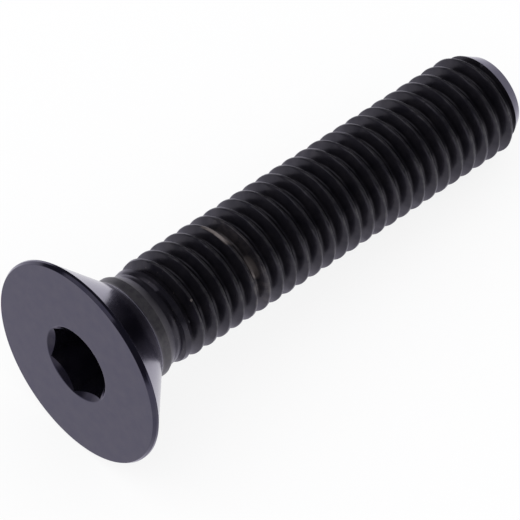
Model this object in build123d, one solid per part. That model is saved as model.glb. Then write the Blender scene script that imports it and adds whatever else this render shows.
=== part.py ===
from build123d import *

import os
from math import atan2, ceil, cos, degrees, floor, radians, tan

# Hexagon socket countersunk head screw, M8 x 1.25 x 40, fully threaded: one forged and rolled piece.
# It is made upright, with the flat face of the head at height 0 and the point at the top, and is
# then laid down as it comes to rest on a flat surface, on the edge of its head and on its last full
# crest. All lengths are in millimetres and all angles in degrees.

# Head
length = 40.0               # overall, from the face of the head to the end of the point
head_d = 15.8               # across the land
edge_break = 0.16           # of the rim, where the face turns over into the land
land_end = 0.42             # height at which the land gives way to the countersunk cone
countersink_angle = 90.0    # included angle of the cone
neck_fillet = 0.3           # between the cone and the shoulder

# Hexagon socket
socket_af = 5.02            # across flats
socket_depth = 3.5          # of the corners, to where the punched bottom begins
punch_angle = 120.0         # included angle of the punched bottom
mouth_d = 5.98              # of the chamfer, where it meets the face
mouth_angle = 110.0         # included angle of that chamfer

# Shoulder, and the blank that the thread is rolled on, each from the end of the one before
shoulder_length = 0.86      # of the plain shoulder under the head
neck_down_length = 0.7      # over which the shoulder comes down to the blank
blank_length = 0.25         # of the bare blank, as far as the first trace of the thread
run_in_length = 1.75        # over which the crests and the roots reach their full height and depth
blank_excess = 0.11         # of the blank's diameter over the pitch diameter

# Thread
major_d = 7.86
pitch = 1.25
thread_angle = 60.0         # between two flanks
crest_phase = 0.93          # a crest's height above the face, less whole pitches, at a socket corner

# Point
point_d = 5.66              # of the flat end
point_angle = 90.0          # included angle of the chamfer

# Rest
underside = 59.6            # the side that it lies on, counted about its axis from a socket corner

# Thread form, from the pitch and the angle of the thread
thread_tan = tan(radians(thread_angle / 2))
sharp_height = pitch / 2 / thread_tan
crest_r = major_d / 2
pitch_r = crest_r - 3 / 8 * sharp_height
root_r = crest_r - 17 / 24 * sharp_height
blank_r = pitch_r + blank_excess / 2
core_r = root_r - pitch / 8
bore_r = root_r - pitch / 4

# Heights along the screw
head_r = head_d / 2
head_end = land_end + (head_r - crest_r) / tan(radians(countersink_angle / 2))
shoulder_end = head_end + shoulder_length
blank_start = shoulder_end + neck_down_length
thread_start = blank_start + blank_length
full_thread_start = thread_start + run_in_length
point_start = length - (crest_r - point_d / 2) / tan(radians(point_angle / 2))
stock_end = length + 2 * pitch


def turned(*corners):
    """The solid that a half section sweeps about the axis, from its corners as (radius, height)."""
    outline = Polyline(*[(radius, 0, height) for radius, height in corners], close=True)
    return revolve(make_face(outline), axis=Axis.Z)


def circle_edge(solid, radius, height):
    """The solid's round edge of this radius at this height."""
    circles = solid.edges().filter_by(GeomType.CIRCLE)
    return circles.sort_by(lambda edge: abs(edge.radius - radius) + abs(edge.arc_center.Z - height))[:1]


def run_in_height(radius):
    """The height on the cone that the crests climb, from the blank to the full thread, at a radius."""
    climb = (full_thread_start - thread_start) / (crest_r - blank_r)
    return thread_start + (radius - blank_r) * climb


def root_height(radius):
    """The height on the cone that the roots go down, from the blank to the full thread, at a radius."""
    descent = (full_thread_start - thread_start) / (blank_r - root_r)
    return thread_start + (blank_r - radius) * descent


def flank_offset(radius):
    """How far a flank lies above or below the middle of its ridge, at a radius."""
    return pitch / 4 - (radius - pitch_r) * thread_tan


def threaded_tube(first_crest, end):
    """The thread on a thin wall, as one solid: equal turns of ruled faces between helices.

    The section of a turn starts and ends at the bore. It follows the lower flank, the crest and the
    upper flank of a ridge, and then the root as far as the next ridge, one pitch up.
    """
    foot, crest = flank_offset(root_r), flank_offset(crest_r)
    corners = [
        (bore_r, -foot),
        (root_r, -foot),
        (crest_r, -crest),
        (crest_r, crest),
        (root_r, foot),
        (root_r, pitch - foot),
        (bore_r, pitch - foot),
    ]
    turns = ceil((end - first_crest) / pitch)
    helices = [
        Pos(Z=first_crest + offset) * Edge.make_helix(pitch, pitch, radius)
        for radius, offset in corners
    ]
    underside_face, *thread_faces, top_face, bore_face = [
        Face.make_surface_from_curves(helix, following)
        for helix, following in zip(helices, helices[1:] + helices[:1])
    ]
    faces = [underside_face, Pos(Z=(turns - 1) * pitch) * top_face]
    for turn in range(turns):
        faces += [Pos(Z=turn * pitch) * face for face in [*thread_faces, bore_face]]
    start = Face(Wire.make_polygon([helix @ 0 for helix in helices], close=True))
    return Solid(Shell([*faces, start, Pos(Z=turns * pitch) * start]))


# Turned blank: head, shoulder and blank diameter, and the core that the thread stands on
blank = turned(
    (0, 0),
    (head_r, 0),
    (head_r, land_end),
    (crest_r, head_end),
    (crest_r, shoulder_end),
    (blank_r, blank_start),
    (blank_r, thread_start),
    (core_r, root_height(core_r)),
    (core_r, stock_end),
    (0, stock_end),
)
blank = chamfer(circle_edge(blank, head_r, 0), edge_break)
blank = fillet(circle_edge(blank, crest_r, head_end), neck_fillet)

# Thread, cut back where the crests climb out of the blank
clear = pitch / 4
run_in_waste = turned(
    (core_r, 0),
    (core_r, run_in_height(core_r)),
    (crest_r + clear, run_in_height(crest_r + clear)),
    (crest_r + clear, 0),
)
below_start = thread_start - flank_offset(root_r)
first_crest = crest_phase + pitch * floor((below_start - crest_phase) / pitch)
thread = threaded_tube(first_crest, length + pitch) - run_in_waste

# Point, cut to length and chamfered
point_waste = turned(
    (0, length),
    (point_d / 2, length),
    (crest_r + clear, point_start - clear / tan(radians(point_angle / 2))),
    (crest_r + clear, stock_end + pitch),
    (0, stock_end + pitch),
)

# Socket: a hexagon with two corners on the X axis, a conical bottom and a chamfered mouth
corner_r = socket_af / 2 / cos(radians(30))
punch = turned(
    (0, 0),
    (corner_r, 0),
    (corner_r, socket_depth),
    (0, socket_depth + corner_r / tan(radians(punch_angle / 2))),
)
hexagon = extrude(RegularPolygon(corner_r, 6), amount=length / 2)
mouth = turned((0, 0), (mouth_d / 2, 0), (0, mouth_d / 2 / tan(radians(mouth_angle / 2))))
socket = (hexagon & punch) + mouth

screw = blank + thread - point_waste - socket

# Laid down: the underside turned down, and the axis dipped from the head to the last full crest
crest_half = flank_offset(crest_r)
underside_phase = crest_phase + pitch * underside / 360 + crest_half
last_crest = underside_phase + pitch * floor((point_start - underside_phase) / pitch)
dip = degrees(atan2(head_r - crest_r, last_crest - land_end))
screw = Rot(Y=90 + dip) * Rot(Z=-underside) * screw
extent = screw.bounding_box()
screw = Pos(-extent.center().X, -extent.center().Y, -extent.min.Z) * screw

os.makedirs("parts", exist_ok=True)
export_step(screw, "parts/socket_screw.step")
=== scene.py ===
from math import ceil, cos, floor, pi, radians, tan

import bmesh
import bpy
import numpy as np
from bpy.props import FloatProperty, FloatVectorProperty, PointerProperty
from mathutils import Matrix, Vector


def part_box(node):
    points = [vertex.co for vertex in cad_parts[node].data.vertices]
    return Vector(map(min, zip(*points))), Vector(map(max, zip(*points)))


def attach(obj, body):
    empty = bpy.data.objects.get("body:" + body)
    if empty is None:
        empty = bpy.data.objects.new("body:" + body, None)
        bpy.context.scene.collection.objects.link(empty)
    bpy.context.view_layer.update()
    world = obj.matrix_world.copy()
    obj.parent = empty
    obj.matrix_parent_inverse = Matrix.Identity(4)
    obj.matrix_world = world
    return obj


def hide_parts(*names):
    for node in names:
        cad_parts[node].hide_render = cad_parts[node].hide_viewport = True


bl_info = {
    "name": "Countersunk Socket Screw",
    "version": (1, 0, 0),
    "blender": (4, 5, 0),
    "location": "View3D > Sidebar > Screw",
    "description": "A black countersunk socket screw with a rolled thread, on a pale floor",
    "category": "Add Mesh",
}

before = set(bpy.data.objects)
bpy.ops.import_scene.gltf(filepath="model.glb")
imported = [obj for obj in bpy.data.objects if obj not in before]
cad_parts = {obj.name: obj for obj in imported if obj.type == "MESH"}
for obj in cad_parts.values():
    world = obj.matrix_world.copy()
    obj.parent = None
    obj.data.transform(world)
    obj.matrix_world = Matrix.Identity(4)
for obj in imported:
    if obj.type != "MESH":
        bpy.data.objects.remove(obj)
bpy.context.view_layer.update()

NODE = "socket_screw"
PLACE = "screw_place"       # the attribute that keeps each vertex's place on the upright screw
MM = 0.001

# Mesh
COLUMNS = 168               # round the axis: a multiple of six, one for each corner of the hexagon
ARC_STEPS = 6               # in each rounded corner of a turned profile
SHARP_EDGE = radians(38)    # between faces that aren't shaded as one

# Lengths of the mesh, in millimetres
ARC_SUPPORT = 0.02          # from each rounded corner to a row that keeps the side beside it flat
MERGE = 2e-4                # within which vertices become one
SLIVER = 1e-5               # under which an edge is dropped
FACE_MARGIN = 0.05          # round the mouth of the socket, to the first row of the face
STRIP_LEAD = 0.05           # from the middle of the bare blank to the start of the threaded strip
STRIP_TAIL = 0.15           # from the end of the threaded strip to the end of the screw

# Small roundings, in millimetres
FACE_ROUND = 0.05           # where the face turns over into the edge break
RIM_ROUND = 0.06            # where the edge break meets the land
LAND_ROUND = 0.03           # where the land gives way to the cone
BLANK_ROUND = 0.1           # at both ends of the step from the shoulder down to the blank
CREST_ROUND = 0.045         # the width over which the edges of a crest are rounded
POINT_ROUND = 0.12          # between the point's chamfer and its flat end
EDGE_SLANT = 1.6            # height of the edge break over its width

# Thread form, the last three as shares of the height of the sharp V that the flanks would make
FLANK = radians(30)         # of a flank, from square across the axis
CREST_TO_PITCH = 3 / 8      # from the crest down to the pitch line
CREST_TO_ROOT = 17 / 24     # from the crest down to the root
CREST_TO_SHARP = 7 / 8      # from the crest down to where the flanks would meet

# Unevenness of the rolled crests, in millimetres, and its seeds
GRAIN_STEP = 0.9            # along the helix, from one random value to the next
GRAIN_KNOTS = 4000          # random values in all
GRAIN_LEAD = 400            # of them, before the start of the helix
CREST_DIP = 0.01            # how far crests lie below the thread's diameter, and vary about that
CREST_SPREAD = 0.034        # how far half the width of a crest varies
SPREAD_END = 0.2            # from the middle of a crest to where its flanks begin to come true
DIP_SEED = 11
SPREAD_SEED = 12


# ---------------------------------------------------------------- sizes and finish


def length_of(name, description, millimetres):
    """A length, shown in Blender's units and kept in metres."""
    return FloatProperty(
        name=name, description=description, default=millimetres * MM,
        subtype="DISTANCE", unit="LENGTH",
    )


def angle_of(name, description, degrees):
    """An angle, shown in degrees and kept in radians."""
    return FloatProperty(
        name=name, description=description, default=radians(degrees),
        subtype="ANGLE", unit="ROTATION",
    )


def share_of(name, description, default):
    """A number from 0 to 1."""
    return FloatProperty(
        name=name, description=description, default=default,
        min=0, max=1, subtype="FACTOR",
    )


def colour_of(name, description, default):
    """A colour, as linear red, green and blue."""
    return FloatVectorProperty(
        name=name, description=description, default=default,
        size=3, min=0, max=1, subtype="COLOR",
    )


class ScrewSizes(bpy.types.PropertyGroup):
    """The screw's sizes."""

    length: length_of("Length", "Overall, from the face of the head to the end of the point", 40.0)
    head_diameter: length_of("Head Diameter", "Across the land", 15.8)
    edge_break: length_of("Edge Break", "How far in from the land the face turns over", 0.14)
    land_end: length_of("Land", "Height at which the land gives way to the cone", 0.42)
    countersink: angle_of("Countersink", "Included angle of the cone under the head", 90)
    neck_round: length_of("Neck Round", "Radius between the cone and the shoulder", 0.7)
    shoulder_end: length_of("Shoulder End", "Height at which the plain shoulder ends", 5.25)
    blank_diameter: length_of("Blank Diameter", "Of the blank that the thread is rolled on", 7.16)
    blank_start: length_of("Blank Start", "Height at which the step down to the blank ends", 5.95)
    thread_start: length_of("Thread Start", "Height of the first trace of the thread", 6.2)
    full_thread_start: length_of("Full Thread Start", "Height of the first full crest", 7.95)
    major_diameter: length_of("Thread Diameter", "Across the crests of the thread", 7.86)
    pitch: length_of("Pitch", "From one crest to the next", 1.25)
    crest_phase: length_of(
        "Crest Phase", "Height of a crest at a corner of the socket, less whole pitches", 0.93
    )
    point_diameter: length_of("Point Diameter", "Of the flat end, inside its chamfer", 5.94)
    point: angle_of("Point", "Included angle of the chamfer at the point", 60)
    socket_across: length_of("Socket", "Across the flats of the hexagon", 5.02)
    socket_depth: length_of("Socket Depth", "Of the corners, to the punched bottom", 3.5)
    punch: angle_of("Punch", "Included angle of the punched bottom", 120)
    mouth_diameter: length_of("Mouth Diameter", "Of the socket's chamfer, at the face", 5.98)
    mouth: angle_of("Mouth", "Included angle of the socket's chamfer", 110)
    underside: angle_of(
        "Underside", "The side that the screw lies on, counted from a corner of the socket", 59.6
    )


class OxideFinish(bpy.types.PropertyGroup):
    """The black oxide, its wear, the oil on it and the residue that dried."""

    oxide: colour_of("Oxide", "Black oxide on the machined head and point", (0.032, 0.029, 0.056))
    rolled: colour_of("Rolled Oxide", "Black oxide on the rolled thread", (0.021, 0.0195, 0.028))
    scale: colour_of("Scale", "The dull scale on the shoulder under the head", (0.05, 0.046, 0.055))
    worn: colour_of("Worn Edge", "Where the oxide is rubbed thin on a crest", (0.11, 0.11, 0.105))
    residue: colour_of("Residue", "Dried oil in one groove", (0.155, 0.134, 0.13))
    gloss: share_of("Roughness", "Roughness of the machined head", 0.18)
    thread_gloss: share_of("Thread Roughness", "Roughness of the rolled thread", 0.3)
    wear: share_of("Wear", "How far the crests are rubbed", 0.11)
    oil: share_of("Oil", "How much of the head the thin film of oil covers", 0.4)


class Studio(bpy.types.PropertyGroup):
    """The floor, the light round about, the lamp and the lens."""

    floor: colour_of("Floor", "The pale floor", (0.92, 0.92, 0.93))
    surround: colour_of("Surround", "Soft light from all round", (0.95, 0.95, 0.96))
    ceiling: colour_of(
        "Ceiling", "What the steel shows of the room above the pale backdrop", (0.1, 0.1, 0.115)
    )
    top_lamp: FloatProperty(
        name="Top Lamp", description="Power of the soft lamp overhead", default=4.5,
        min=0, unit="POWER",
    )
    lens: FloatProperty(
        name="Lens", description="Focal length of the camera", default=392.94,
        min=1, unit="CAMERA",
    )


# ---------------------------------------------------------------- shapes


def rounded_profile(*corners):
    """A profile through corners (radius, height, rounding), with each made an arc but the end ones.

    An arc of radius r begins before the corner, by r times the tangent of half the turn. From there
    a point goes r sin(a) along the side that comes in and r (1 - cos(a)) towards the side that goes
    out, as a runs from 0 to the whole turn. A point a little before and after each arc keeps the
    straight sides shaded flat.
    """
    corners = np.array(corners, float)
    corners, rounding = corners[:, :2], corners[1:-1, 2:]
    sides = np.diff(corners, axis=0)
    sides /= np.linalg.norm(sides, axis=1, keepdims=True)
    into, out = sides[:-1], sides[1:]
    across = np.stack([-into[:, 1], into[:, 0]], 1)
    turn = np.arctan2((across * out).sum(1), (into * out).sum(1))
    bend = np.abs(turn)[:, None]
    lead = rounding * np.tan(bend / 2)
    start, end = corners[1:-1] - into * lead, corners[1:-1] + out * lead
    a = (bend * np.linspace(0, 1, ARC_STEPS + 1))[:, :, None]
    arc = start[:, None] + rounding[:, :, None] * (
        np.sin(a) * into[:, None] + (1 - np.cos(a)) * (across * np.sign(turn)[:, None])[:, None]
    )
    before, after = start - into * ARC_SUPPORT, end + out * ARC_SUPPORT
    points = np.concatenate([before[:, None], arc, after[:, None]], 1)
    return np.vstack([corners[:1], points.reshape(-1, 2), corners[-1:]])


def smooth_least(a, b, width):
    """The lesser of two surfaces, with the edge where they cross rounded over a width.

    Where they are nearer than the width, a quarter of the width times the square of how near they
    are, from 0 to 1, comes off.
    """
    near = np.maximum(width - np.abs(a - b), 0) / width
    return np.minimum(a, b) - near * near * width / 4


def grain_along(place, seed):
    """Seeded random values from -1 to 1 at even steps along a line, joined by straight lines."""
    knots = np.random.default_rng(seed).uniform(-1.0, 1.0, GRAIN_KNOTS)
    return np.interp(place, (np.arange(GRAIN_KNOTS) - GRAIN_LEAD) * GRAIN_STEP, knots)


class Form:
    """The screw's lengths in millimetres, and the surfaces worked out from them."""

    def __init__(self, sizes):
        mm = {name: getattr(sizes, name) / MM for name in sizes.__annotations__}
        self.length, self.underside = mm["length"], sizes.underside
        self.head_r, self.crest_r = mm["head_diameter"] / 2, mm["major_diameter"] / 2
        self.blank_r, self.point_r = mm["blank_diameter"] / 2, mm["point_diameter"] / 2
        self.edge_break, self.neck_round = mm["edge_break"], mm["neck_round"]
        self.land_end, self.shoulder_end = mm["land_end"], mm["shoulder_end"]
        self.head_end = self.land_end + (self.head_r - self.crest_r) / tan(sizes.countersink / 2)
        self.blank_start, self.thread_start = mm["blank_start"], mm["thread_start"]
        self.full_start = mm["full_thread_start"]

        self.flat, self.socket_depth = mm["socket_across"] / 2, mm["socket_depth"]
        self.mouth_r, self.mouth_slope = mm["mouth_diameter"] / 2, tan(sizes.mouth / 2)
        self.punch_slope = tan(sizes.punch / 2)

        self.pitch, self.phase = mm["pitch"], mm["crest_phase"]
        sharp = self.pitch / 2 / tan(FLANK)
        pitch_r = self.crest_r - CREST_TO_PITCH * sharp
        self.crest_half = self.pitch / 4 - (self.crest_r - pitch_r) * tan(FLANK)
        self.root_r = self.crest_r - CREST_TO_ROOT * sharp
        self.root_round = self.root_r - (self.crest_r - CREST_TO_SHARP * sharp)

        self.point_slope = tan(sizes.point / 2)
        self.point_start = self.length - (self.crest_r - self.point_r) / self.point_slope

    def thread(self, angle, height):
        """Radius of the full thread at an angle and a height.

        The distance from the middle of the nearest crest decides it. The crest is flat, with edges
        a little rounded. The flanks fall by the distance over the tangent of their angle, and the
        root is an arc that they touch. Small random changes along the helix make the crest and the
        top of the flanks uneven, and further down the flanks are true.
        """
        turns = (height - self.phase) / self.pitch - angle / (2 * pi)
        crest = np.round(turns)
        away = np.abs(turns - crest) * self.pitch
        along = (crest + angle / (2 * pi)) * 2 * pi * self.crest_r
        top = self.crest_r - CREST_DIP - CREST_DIP * grain_along(along, DIP_SEED)
        half = self.crest_half + CREST_SPREAD * grain_along(along, SPREAD_SEED)
        uneven = self.crest_r - (away - half) / tan(FLANK)
        true = self.crest_r - (away - self.crest_half) / tan(FLANK)
        down = np.clip((away - SPREAD_END) / SPREAD_END, 0, 1)
        ridge = smooth_least(top, uneven * (1 - down) + true * down, CREST_ROUND)
        from_root = self.pitch / 2 - away
        rise = np.sqrt(np.maximum(self.root_round**2 - from_root**2, 0))
        arc = self.root_r + self.root_round - rise
        return np.where(from_root < self.root_round * cos(FLANK), arc, ridge)

    def blank(self, height):
        """Radius of the blank, which goes evenly down to the root as the thread grows."""
        share = np.clip((height - self.thread_start) / (self.full_start - self.thread_start), 0, 1)
        return self.blank_r + (self.root_r - self.blank_r) * share

    def run_in(self, height):
        """Radius of the cone that the crests climb on, from the blank up to the full thread."""
        share = (height - self.thread_start) / (self.full_start - self.thread_start)
        return self.blank_r + (self.crest_r - self.blank_r) * share

    def ridge(self, angle, height):
        """Radius of the thread where it is no more than the run-in's."""
        return np.minimum(self.thread(angle, height), self.run_in(height))

    def chamfer(self, height):
        """Radius of the point's chamfer, growing from the end by the tangent of half its angle."""
        return self.point_r + (self.length - height) * self.point_slope

    def wall(self, angle):
        """Radius of the hexagon's wall.

        It is half the width across flats, over the cosine of the angle from the middle of a flat.
        """
        return self.flat / np.cos(np.mod(angle, pi / 3) - pi / 6)


def ring_points(radius, height, angle):
    """Rings on the axis: x is radius times cos(angle), y radius times sin(angle), z height."""
    radius, height, angle = np.broadcast_arrays(radius, height, angle)
    return np.stack([radius * np.cos(angle), radius * np.sin(angle), height], -1)


def snapped(height, gap):
    """Grid heights with the vertex nearest to each crossing of two surfaces moved onto it.

    Gap is how far one surface stands over the other. Where it changes sign between two rows, the
    crossing is found on the straight line between them.
    """
    a, b = gap[:-1], gap[1:]
    crossing = a * b < 0
    share = np.where(crossing, a / np.where(crossing, a - b, 1), 0)
    target = height[:-1] + share * (height[1:] - height[:-1])
    moved = height.copy()
    moved[:-1] = np.where(crossing & (share < 0.5), target, moved[:-1])
    moved[1:] = np.where(crossing & (share >= 0.5), target, moved[1:])
    return moved


def socket_rings(form, angle):
    """The socket from its deepest point out to the mouth, as rows of one grid.

    The bottom is a cone, the wall a hexagon whose foot follows that cone, and the mouth a chamfer
    that cuts the wall lower in the middle of a flat than at a corner.
    """
    wall = form.wall(angle)
    corner = form.flat / cos(pi / 6)
    out = np.array([0, 0.03, 0.35, 0.7, 0.97, 1])[:, None]      # from the axis to the wall
    depth = form.socket_depth + (corner - wall * out) / form.punch_slope
    bottom = ring_points(wall * out, depth, angle)
    foot = form.socket_depth + (corner - wall) / form.punch_slope
    brim = (form.mouth_r - wall) / form.mouth_slope
    up = np.array([0.02, 0.3, 0.7, 0.98, 1])[:, None]           # from the wall's foot to its brim
    side = ring_points(wall, foot + (brim - foot) * up, angle)
    flare = np.array([0.15, 0.85, 1])[:, None]                  # from the brim to the face
    mouth = ring_points(wall + (form.mouth_r - wall) * flare, brim * (1 - flare), angle)
    return np.concatenate([bottom, side, mouth])


def head_rings(form, angle, end):
    """The head from the mouth of the socket out to its land, and back to the bare blank.

    One profile with rounded corners is carried round the axis: face, edge break, land, cone, neck,
    shoulder, step and blank.
    """
    profile = rounded_profile(
        (form.mouth_r, 0, 0),
        (form.mouth_r + FACE_MARGIN, 0, 0),
        (form.head_r - form.edge_break, 0, FACE_ROUND),
        (form.head_r, form.edge_break * EDGE_SLANT, RIM_ROUND),
        (form.head_r, form.land_end, LAND_ROUND),
        (form.crest_r, form.head_end, form.neck_round),
        (form.crest_r, form.shoulder_end, BLANK_ROUND),
        (form.blank_r, form.blank_start, BLANK_ROUND),
        (form.blank_r, end, 0),
    )
    return ring_points(profile[:, :1], profile[:, 1:], angle)


def thread_rows(form, angle, start, end):
    """The threaded length as one strip that winds round the axis.

    A row follows the helix: its height is the crest's height plus its own offset, and it rises one
    pitch a turn. Heights are held between the start and the end, so that the strip closes on a
    level ring at both. The radius is the thread's, no more than the run-in's or the chamfer's, and
    no less than the blank's. The second value is how many rows a turn climbs.
    """
    root = form.pitch / 2
    from_crest = [0.05, form.crest_half, 0.105, 0.17, 0.4]      # round its edge, down its flank
    from_root = [0.156, 0.08]                                   # where its arc begins, and inside
    near = np.array([*from_crest, *(root - place for place in from_root)])
    offsets = np.concatenate([[0], near, [root], form.pitch - near[::-1]])
    first = floor((start - form.phase) / form.pitch) - 1
    last = ceil((end - form.phase) / form.pitch)
    crests = np.arange(first, last + 1)
    rows = (form.phase + form.pitch * crests[:, None] + offsets).reshape(-1, 1)
    height = np.clip(rows + form.pitch * angle / (2 * pi), start, end)
    for _ in range(2):
        height = snapped(height, form.thread(angle, height) - form.run_in(height))
        height = snapped(height, form.ridge(angle, height) - form.blank(height))
        height = snapped(height, form.thread(angle, height) - form.chamfer(height))
    height = np.clip(height, start, end)
    radius = np.maximum(form.ridge(angle, height), form.blank(height))
    radius = np.minimum(radius, form.chamfer(height))
    return ring_points(radius, height, angle), len(offsets)


def point_rings(form, angle, start):
    """The end of the chamfer, its edge and the flat end in to the axis: a turned profile."""
    profile = rounded_profile(
        (form.chamfer(start), start, 0),
        (form.point_r, form.length, POINT_ROUND),
        (0, form.length, 0),
    )
    return ring_points(profile[:, :1], profile[:, 1:], angle)


def grid_faces(rows, step, offset):
    """Quads of a grid that closes on itself, its last column meeting the first, step rows on."""
    row, column = np.meshgrid(np.arange(rows - 1 - step), np.arange(COLUMNS), indexing="ij")
    following = np.where(column == COLUMNS - 1, (row + step) * COLUMNS, row * COLUMNS + column + 1)
    here = row * COLUMNS + column
    quads = np.stack([here, following, following + COLUMNS, here + COLUMNS], -1)
    return quads.reshape(-1, 4) + offset


def closed_mesh(name, parts):
    """A mesh from parts (grid of points, rows that a turn climbs), with seams and poles merged."""
    points = np.concatenate([grid.reshape(-1, 3) for grid, _ in parts])
    starts = np.cumsum([0] + [grid.shape[0] * COLUMNS for grid, _ in parts])
    faces = np.concatenate(
        [grid_faces(grid.shape[0], step, at) for (grid, step), at in zip(parts, starts)]
    )
    used, faces = np.unique(faces, return_inverse=True)
    mesh = bpy.data.meshes.new(name)
    mesh.from_pydata(points[used], [], faces.reshape(-1, 4))
    work = bmesh.new()
    work.from_mesh(mesh)
    bmesh.ops.remove_doubles(work, verts=work.verts, dist=MERGE)
    bmesh.ops.dissolve_degenerate(work, edges=work.edges, dist=SLIVER)
    bmesh.ops.recalc_face_normals(work, faces=work.faces)
    work.to_mesh(mesh)
    work.free()
    return mesh


def laid_down(form, points):
    """Points turned from upright to lying.

    They turn about the axis until the underside is down, and then over by a right angle and the dip
    that brings the head's land and the last full crest level.
    """
    foot = form.phase + form.pitch * form.underside / (2 * pi) + form.crest_half
    last_crest = foot + form.pitch * floor((form.point_start - foot) / form.pitch)
    dip = np.arctan2(form.head_r - form.crest_r, last_crest - form.land_end)
    over, about = Matrix.Rotation(pi / 2 + dip, 3, "Y"), Matrix.Rotation(-form.underside, 3, "Z")
    return points @ np.array(over @ about).T


# ---------------------------------------------------------------- materials


class Value:
    """A socket that Python's operators work on by adding Math nodes, or just a tree to add to."""

    def __init__(self, tree, socket=None):
        self.tree, self.socket = tree, socket

    def node(self, kind, settings=None, **inputs):
        """Adds a node, makes its settings first, then gives its inputs values or links.

        An input goes by its name, with underscores for spaces, or by its number after an i.
        """
        made = self.tree.nodes.new(kind)
        for key, value in (settings or {}).items():
            setattr(made, key, value)
        for key, value in inputs.items():
            numbered = key[1:].isdigit()
            target = made.inputs[int(key[1:]) if numbered else key.replace("_", " ")]
            if isinstance(value, Value):
                self.tree.links.new(value.socket, target)
            else:
                target.default_value = value
        return made

    def out(self, made, output=0):
        """One output of a node, by its name or number."""
        return Value(self.tree, made.outputs[output])

    def math(self, operation, *values, clamp=False):
        """The result of one Math node."""
        inputs = {f"i{number}": value for number, value in enumerate(values)}
        settings = {"operation": operation, "use_clamp": clamp}
        return self.out(self.node("ShaderNodeMath", settings, **inputs))

    def __add__(self, other):
        return self.math("ADD", self, other)

    def __sub__(self, other):
        return self.math("SUBTRACT", self, other)

    def __rsub__(self, other):
        return self.math("SUBTRACT", other, self)

    def __mul__(self, other):
        return self.math("MULTIPLY", self, other)

    def __truediv__(self, other):
        return self.math("DIVIDE", self, other)

    __radd__, __rmul__ = __add__, __mul__

    def most(self, *others):
        """The greatest of this and the others."""
        greatest = self
        for other in others:
            greatest = self.math("MAXIMUM", greatest, other)
        return greatest

    def times(self, factor):
        """The product with a number, held between 0 and 1."""
        return self.math("MULTIPLY", self, factor, clamp=True)

    def step(self, low, high):
        """0 below low, 1 above high, and smooth between, or falling where low is the greater."""
        inputs = {"Value": self, "From_Min": min(low, high), "From_Max": max(low, high)}
        if low > high:
            inputs |= {"To_Min": 1.0, "To_Max": 0.0}
        settings = {"interpolation_type": "SMOOTHSTEP"}
        return self.out(self.node("ShaderNodeMapRange", settings, **inputs))

    def band(self, start, full, thin, end):
        """0 before start, 1 from full to thin, and 0 past end, and smooth between."""
        return self.step(start, full) * self.step(end, thin)

    def varied(self, least, spread):
        """Least where this is 0, and more by spread where it is 1."""
        return self * spread + least

    def noise(self, scale, detail, roughness):
        """Noise from 0 to 1 at this place, with scale features to a unit."""
        inputs = {"Vector": self, "Scale": scale, "Detail": detail, "Roughness": roughness}
        return self.out(self.node("ShaderNodeTexNoise", None, **inputs), "Fac")

    def colour(self, first, second):
        """One colour where this share is 0 and another where it is 1, and a mix between."""
        made = self.node("ShaderNodeMix", {"data_type": "RGBA"}, i0=self)
        for target, value in ((made.inputs[6], first), (made.inputs[7], second)):
            if isinstance(value, Value):
                self.tree.links.new(value.socket, target)
            else:
                target.default_value = (*value, 1)
        return self.out(made, 2)


def new_material(name):
    """An empty node material, and the wrapper that its nodes are made with."""
    material = bpy.data.materials.new(name)
    material.use_nodes = True
    material.node_tree.nodes.clear()
    return material, Value(material.node_tree)


# Where the finish changes, in millimetres, each as where it begins and where it is full
NECK_FADE = (-0.1, 0.15)    # along the axis, past the end of the cone: from machined to rolled
POINT_FADE = (0.0, 0.04)    # inside the point's chamfer: from machined to rolled
CREST_FADE = (0.045, 0.02)  # below the thread's diameter: the rubbed crests
ROOT_FADE = (0.3, 0.05)     # over the root: the grooves, darkened as painted shade
MOUTH_FADE = (0.01, 0.05)   # inside the mouth of the socket: painted shade, where the socket is also dry and matt
RECESS_FADE = (3, 2)        # past the socket's corners, which is beyond its bottom

# Dried oil. Across a groove it is counted in pitches from the smeared crest, and round the screw in
# radians, each as where it starts, is full, begins to thin and ends.
SMEARED_CREST = 10
SMEAR_ACROSS, SMEAR_ROUND = (-0.1, 0.0, 1.04, 1.12), (-2.75, -2.3, -0.5, 0.0)
STREAK_ACROSS, STREAK_ROUND = (-0.12, -0.06, 0.44, 0.56), (-2.6, -2.25, -2.05, -1.85)
PATCH_ACROSS, PATCH_ROUND = (0.4, 0.6, 0.62, 0.82), (-1.6, -1.3, -1.2, -0.9)
SPECK_PLACE, SPECK_FADE = (0.67, -3.87, 8.12), (0.13, 0.04)
DUST_START = 0.4            # past the end of the cone, where the dust is full
DUST_END = (12.0, 7.0)      # height by which it has gone, and to which it is full
DUST_FADE = (0.68, 0.76)    # of the noise that scatters it

# Shares of the dried oil, of the rubbing and of the scale: the least, and how much more it may be
SMEAR_SHARE, STREAK_SHARE, PATCH_SHARE = (0.008, 0.022), (0.75, 0.2), (0.24, 0.4)
RUBBED_SHARE, SCALE_MATT, TARNISH_SHARE = (0.2, 0.8), (0.08, 0.2), (-0.17, 0.5)
SPECK_SHARE, DUST_SHARE = 0.5, 0.12

# Colours that go with the oxide, with painted shade for the grooves and the socket, and how far
# each surface goes to its own
# Painted shade: the grooves' colour goes towards near black, in place of the shade between the
# flanks
PAINTED_GROOVE_SHADE, GROOVE_SHADE_SHARE = (0.004, 0.004, 0.005), 0.6
TARNISH = (0.1, 0.09, 0.1)
PAINTED_SOCKET_SHADE = 0.5          # brightness of the painted shade in the socket, against the head's oxide
SCALE_SHARE = 0.8
WORN_REACH = 3.0            # how much sooner the colour turns worn than the mirror goes
DRIED_REACH = 8.0           # how much sooner the colour turns to residue than the mirror goes

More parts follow.
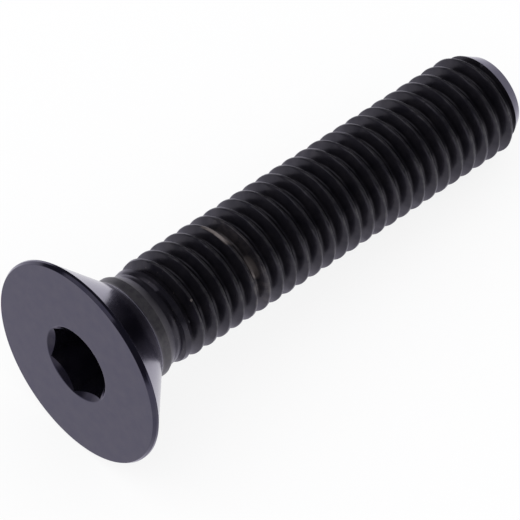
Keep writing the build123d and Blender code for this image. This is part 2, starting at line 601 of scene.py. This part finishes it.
# Shine and relief
MATT = 0.18                 # share of the rolled thread and the socket that has no mirror
SCALE_ROUGH = 0.14          # added on the shoulder
MOTTLE_ROUGH = 0.06         # from the smoothest to the roughest place
GRAIN_ROUGH = 0.08          # the same, in the fine grain of the thread
THREAD_DRY = 0.65           # how much less oil the thread has than the head
COAT_ROUGH = 0.12
EDGE_TINT = (0.9, 0.87, 1.0, 1.0)
RELIEF_STRENGTH, RELIEF_DEPTH = 0.15, 0.01 * MM


def dried_oil(form, local, angle, height, mottle, broken):
    """How far dried oil hides the oxide, from 0 to 1.

    One groove has a faint smear, a streak along its lower crest and a patch on its upper flank.
    There is a speck beside them, and a little dust from the shoulder on.
    """
    across = (height - form.phase) / form.pitch - angle / (2 * pi) - SMEARED_CREST
    smear = across.band(*SMEAR_ACROSS) * angle.band(*SMEAR_ROUND)
    streak = across.band(*STREAK_ACROSS) * angle.band(*STREAK_ROUND)
    patch = across.band(*PATCH_ACROSS) * angle.band(*PATCH_ROUND)
    away = local.node("ShaderNodeVectorMath", {"operation": "DISTANCE"}, i0=local, i1=SPECK_PLACE)
    speck = local.out(away, "Value").step(*SPECK_FADE)
    near_head = height.step(form.head_end, form.head_end + DUST_START) * height.step(*DUST_END)
    dust = local.noise(scale=7.0, detail=2.0, roughness=0.6).step(*DUST_FADE) * near_head
    return (streak * broken.varied(*STREAK_SHARE)).most(
        patch * mottle.varied(*PATCH_SHARE),
        smear * broken.varied(*SMEAR_SHARE),
        speck * SPECK_SHARE,
        dust * DUST_SHARE,
    )


def oxide_material(form, finish):
    """Black oxide on forged and rolled steel, from each point's place on the upright screw.

    The head and the point are machined, with a coat of thin oil. The rolled thread is duller, has
    less of the oil, has painted shade in its grooves and is rubbed lighter on stretches of its
    crests.
    The shoulder keeps a dull scale, and the socket is dry, with painted shade darkening it. Where
    oil has dried or steel is rubbed, less of the metal's mirror is left.
    """
    material, v = new_material("black_oxide")
    local = v.out(v.node("ShaderNodeAttribute", {"attribute_name": PLACE}), "Vector")
    parts = v.node("ShaderNodeSeparateXYZ", None, Vector=local)
    x, y, height = (v.out(parts, axis) for axis in "XYZ")
    radius = v.math("SQRT", x * x + y * y)
    angle = v.math("ARCTAN2", y, x)
    mottle = local.noise(scale=1.1, detail=4.0, roughness=0.55)
    fine = local.noise(scale=9.0, detail=3.0, roughness=0.6)
    broken = local.noise(scale=2.2, detail=4.0, roughness=0.65).step(0.35, 0.65)

    past_neck = height.step(*(form.head_end + place for place in NECK_FADE))
    rolled = past_neck * (form.chamfer(height) - radius).step(*POINT_FADE)
    shoulder = past_neck * height.step(form.blank_start, form.shoulder_end)
    crest = radius.step(*(form.crest_r - place for place in CREST_FADE)) * rolled
    # The grooves, for painted shade
    groove = radius.step(*(form.root_r + place for place in ROOT_FADE)) * rolled
    # The socket: darkened in colour as painted shade, and dry and matt
    socket_shade_and_dry = radius.step(*(form.mouth_r - place for place in MOUTH_FADE))
    socket_shade_and_dry = socket_shade_and_dry * height.step(*(form.socket_depth + place for place in RECESS_FADE))
    dried = dried_oil(form, local, angle, height, mottle, broken)
    rubbed = crest * broken.varied(*RUBBED_SHARE) * finish.wear

    oxide = rolled.colour(finish.oxide, finish.rolled)
    # Painted shade: the grooves are darkened in the colour
    oxide = (groove * GROOVE_SHADE_SHARE).colour(oxide, PAINTED_GROOVE_SHADE)
    # Painted shade: the socket's colour is darkened to half of the head's oxide
    oxide = socket_shade_and_dry.colour(oxide, [part * PAINTED_SOCKET_SHADE for part in finish.oxide])
    oxide = (shoulder * SCALE_SHARE).colour(oxide, finish.scale)
    oxide = mottle.varied(*TARNISH_SHARE).colour(oxide, TARNISH)
    base = rubbed.times(WORN_REACH).colour(oxide, finish.worn)
    base = dried.times(DRIED_REACH).colour(base, finish.residue)

    matt = (rolled + socket_shade_and_dry) * MATT + shoulder * fine.varied(*SCALE_MATT)
    rough = rolled.varied(finish.gloss, finish.thread_gloss - finish.gloss)
    rough = rough + (mottle - 0.5) * MOTTLE_ROUGH + (fine - 0.5) * GRAIN_ROUGH * rolled
    rough = rough + shoulder * SCALE_ROUGH
    relief = {"Strength": RELIEF_STRENGTH, "Distance": RELIEF_DEPTH}
    bump = v.node("ShaderNodeBump", None, Height=(fine + mottle) * 0.5, **relief)
    shader = v.node(
        "ShaderNodeBsdfPrincipled",
        None,
        Base_Color=base,
        Metallic=1 - dried.most(rubbed, matt),
        Roughness=rough,
        Normal=v.out(bump),
        Coat_Weight=(1 - rolled * THREAD_DRY) * (1 - socket_shade_and_dry) * finish.oil,
        Coat_Roughness=COAT_ROUGH,
        Specular_Tint=EDGE_TINT,
    )
    v.node("ShaderNodeOutputMaterial", None, Surface=v.out(shader))
    return material


# ---------------------------------------------------------------- stage


WHITE = (1, 1, 1)
FLOOR_HALF = 1.5            # metres, half the side of the floor
FLOOR_SHOWN = 0.85          # share of the floor that shows as plain white, the rest taking shadow
BACKDROP_FADE = (0.02, 0.16)    # rise of a direction, from the white backdrop to the ceiling

# The lamp, in metres: its side, its place and the point that it faces
LAMP_SIZE, LAMP_PLACE, LAMP_AIM = 1.5, (-0.7, 0.5, 1.12), (0, 0, 0)

# The camera: its place in metres, its axes, its film in millimetres and its reach in metres
CAMERA_PLACE = (-0.1660826, -0.1753254, 0.3216117)
CAMERA_RIGHT = (0.73113034, -0.68223781, 0.0000953)
CAMERA_UP = (0.54428122, 0.58337131, 0.60285643)
CAMERA_BACK = (-0.41134704, -0.44071476, 0.79784969)
FILM_WIDTH = 36.0
CAMERA_NEAR, CAMERA_FAR = 0.01, 10.0


def background_rays(v):
    """1 for the camera's rays, and 1 for those that steel or glass sends on to a background."""
    path = v.node("ShaderNodeLightPath")
    sent_on = v.out(path, "Is Glossy Ray").most(v.out(path, "Is Transmission Ray"))
    return v.out(path, "Is Camera Ray"), sent_on


def floor_material(studio):
    """A pale matt floor that the camera and the steel see as nearly white, with its shadow."""
    material, v = new_material("pale_floor")
    camera, sent_on = background_rays(v)
    shown = camera.most(sent_on) * FLOOR_SHOWN
    matt = v.node("ShaderNodeBsdfDiffuse", None, Color=(*studio.floor, 1))
    white = v.node("ShaderNodeEmission", None, Color=(*WHITE, 1), Strength=1.0)
    mix = v.node("ShaderNodeMixShader", None, i0=shown, i1=v.out(matt), i2=v.out(white))
    v.node("ShaderNodeOutputMaterial", None, Surface=v.out(mix))
    return material


def studio_world(studio):
    """Soft light from all round, and what the camera and the steel see of the room.

    The camera sees white. The steel sees a white backdrop that gives way to the dark ceiling as a
    direction rises.
    """
    world = bpy.data.worlds.new("studio")
    world.use_nodes = True
    world.node_tree.nodes.clear()
    v = Value(world.node_tree)
    camera, sent_on = background_rays(v)
    way = v.out(v.node("ShaderNodeTexCoord"), "Generated")
    rise = v.out(v.node("ShaderNodeSeparateXYZ", None, Vector=way), "Z")
    room = camera.colour(rise.step(*BACKDROP_FADE).colour(WHITE, studio.ceiling), WHITE)
    soft = v.node("ShaderNodeBackground", None, Color=(*studio.surround, 1), Strength=1.0)
    seen = v.node("ShaderNodeBackground", None, Color=room, Strength=1.0)
    shown = camera.most(sent_on)
    mix = v.node("ShaderNodeMixShader", None, i0=shown, i1=v.out(soft), i2=v.out(seen))
    v.node("ShaderNodeOutputWorld", None, Surface=v.out(mix))
    return world


def add_floor(scene, studio):
    """A square floor under the screw."""
    half = FLOOR_HALF
    corners = [(-half, -half, 0), (half, -half, 0), (half, half, 0), (-half, half, 0)]
    mesh = bpy.data.meshes.new("floor")
    mesh.from_pydata(corners, [], [(0, 1, 2, 3)])
    mesh.materials.append(floor_material(studio))
    piece = bpy.data.objects.new("floor", mesh)
    scene.collection.objects.link(piece)


def add_lamp(scene, studio):
    """A soft square lamp overhead that faces the screw."""
    data = bpy.data.lights.new("top_lamp", "AREA")
    data.energy, data.size, data.shape = studio.top_lamp, LAMP_SIZE, "SQUARE"
    lamp = bpy.data.objects.new("top_lamp", data)
    scene.collection.objects.link(lamp)
    back = Vector(LAMP_PLACE) - Vector(LAMP_AIM)
    turn = back.to_track_quat("Z", "Y").to_matrix().to_4x4()
    lamp.matrix_world = Matrix.Translation(LAMP_PLACE) @ turn


def add_camera(scene, studio):
    """The camera, from its axes and its place."""
    data = bpy.data.cameras.new("camera")
    data.lens, data.sensor_width = studio.lens, FILM_WIDTH
    data.clip_start, data.clip_end = CAMERA_NEAR, CAMERA_FAR
    camera = bpy.data.objects.new("camera", data)
    scene.collection.objects.link(camera)
    place = Matrix((CAMERA_RIGHT, CAMERA_UP, CAMERA_BACK)).transposed().to_4x4()
    place.translation = CAMERA_PLACE
    camera.matrix_world = place
    scene.camera = camera


# ---------------------------------------------------------------- operators


def screw_mesh(form):
    """The upright screw in millimetres: the turned head, the threaded strip and the point."""
    angle = np.arange(COLUMNS) * 2 * pi / COLUMNS
    start = (form.blank_start + form.thread_start) / 2 + STRIP_LEAD
    end = form.length - STRIP_TAIL
    head = np.concatenate([socket_rings(form, angle), head_rings(form, angle, start)])
    parts = [(head, 0), thread_rows(form, angle, start, end), (point_rings(form, angle, end), 0)]
    return closed_mesh("screw_body", parts)


def lie_on_floor(form, mesh):
    """Lays the mesh down, in metres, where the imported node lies.

    Each vertex keeps its place on the upright screw as an attribute, for the material.
    """
    upright = np.empty(len(mesh.vertices) * 3)
    mesh.vertices.foreach_get("co", upright)
    mesh.attributes.new(PLACE, "FLOAT_VECTOR", "POINT").data.foreach_set("vector", upright)
    points = laid_down(form, upright.reshape(-1, 3)) * MM
    low, high = (np.array(corner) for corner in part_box(NODE))
    middle = (points.min(0) + points.max(0)) / 2
    points += [*((low + high) / 2 - middle)[:2], low[2] - points[:, 2].min()]
    mesh.vertices.foreach_set("co", points.ravel())
    mesh.update()


class SCREW_OT_add_screw(bpy.types.Operator):
    """Add the screw, head, socket and thread in one closed mesh, in its black oxide"""

    bl_idname = "screw.add_screw"
    bl_label = "Add Screw"

    def execute(self, context):
        form = Form(context.scene.screw_sizes)
        mesh = screw_mesh(form)
        lie_on_floor(form, mesh)
        mesh.shade_smooth()
        mesh.set_sharp_from_angle(angle=SHARP_EDGE)
        mesh.materials.append(oxide_material(form, context.scene.screw_finish))
        screw = bpy.data.objects.new("screw_body", mesh)
        context.scene.collection.objects.link(screw)
        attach(screw, "root")
        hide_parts(NODE)
        return {"FINISHED"}


class SCREW_OT_add_stage(bpy.types.Operator):
    """Add the pale floor, the light round about, the soft lamp and the camera"""

    bl_idname = "screw.add_stage"
    bl_label = "Add Stage"

    def execute(self, context):
        scene, studio = context.scene, context.scene.screw_studio
        scene.view_settings.view_transform = "Standard"
        add_floor(scene, studio)
        scene.world = studio_world(studio)
        add_lamp(scene, studio)
        add_camera(scene, studio)
        return {"FINISHED"}


class SCREW_PT_panel(bpy.types.Panel):
    """The screw's sizes, its finish and the stage"""

    bl_idname = "SCREW_PT_panel"
    bl_label = "Countersunk Socket Screw"
    bl_space_type = "VIEW_3D"
    bl_region_type = "UI"
    bl_category = "Screw"

    def draw(self, context):
        scene = context.scene
        for values, operator in (
            (scene.screw_sizes, None),
            (scene.screw_finish, SCREW_OT_add_screw),
            (scene.screw_studio, SCREW_OT_add_stage),
        ):
            box = self.layout.box()
            for name in type(values).__annotations__:
                box.prop(values, name)
            if operator:
                box.operator(operator.bl_idname)


CLASSES = (
    ScrewSizes, OxideFinish, Studio, SCREW_OT_add_screw, SCREW_OT_add_stage, SCREW_PT_panel
)


def register():
    """Registers the classes and hangs the settings on the scene."""
    for cls in CLASSES:
        bpy.utils.register_class(cls)
    bpy.types.Scene.screw_sizes = PointerProperty(type=ScrewSizes)
    bpy.types.Scene.screw_finish = PointerProperty(type=OxideFinish)
    bpy.types.Scene.screw_studio = PointerProperty(type=Studio)


def unregister():
    """Takes off what register put on."""
    del bpy.types.Scene.screw_studio, bpy.types.Scene.screw_finish, bpy.types.Scene.screw_sizes
    for cls in reversed(CLASSES):
        bpy.utils.unregister_class(cls)


def main():
    """Makes the screw and the stage."""
    register()
    bpy.ops.screw.add_screw()
    bpy.ops.screw.add_stage()


if __name__ == "__main__":
    main()
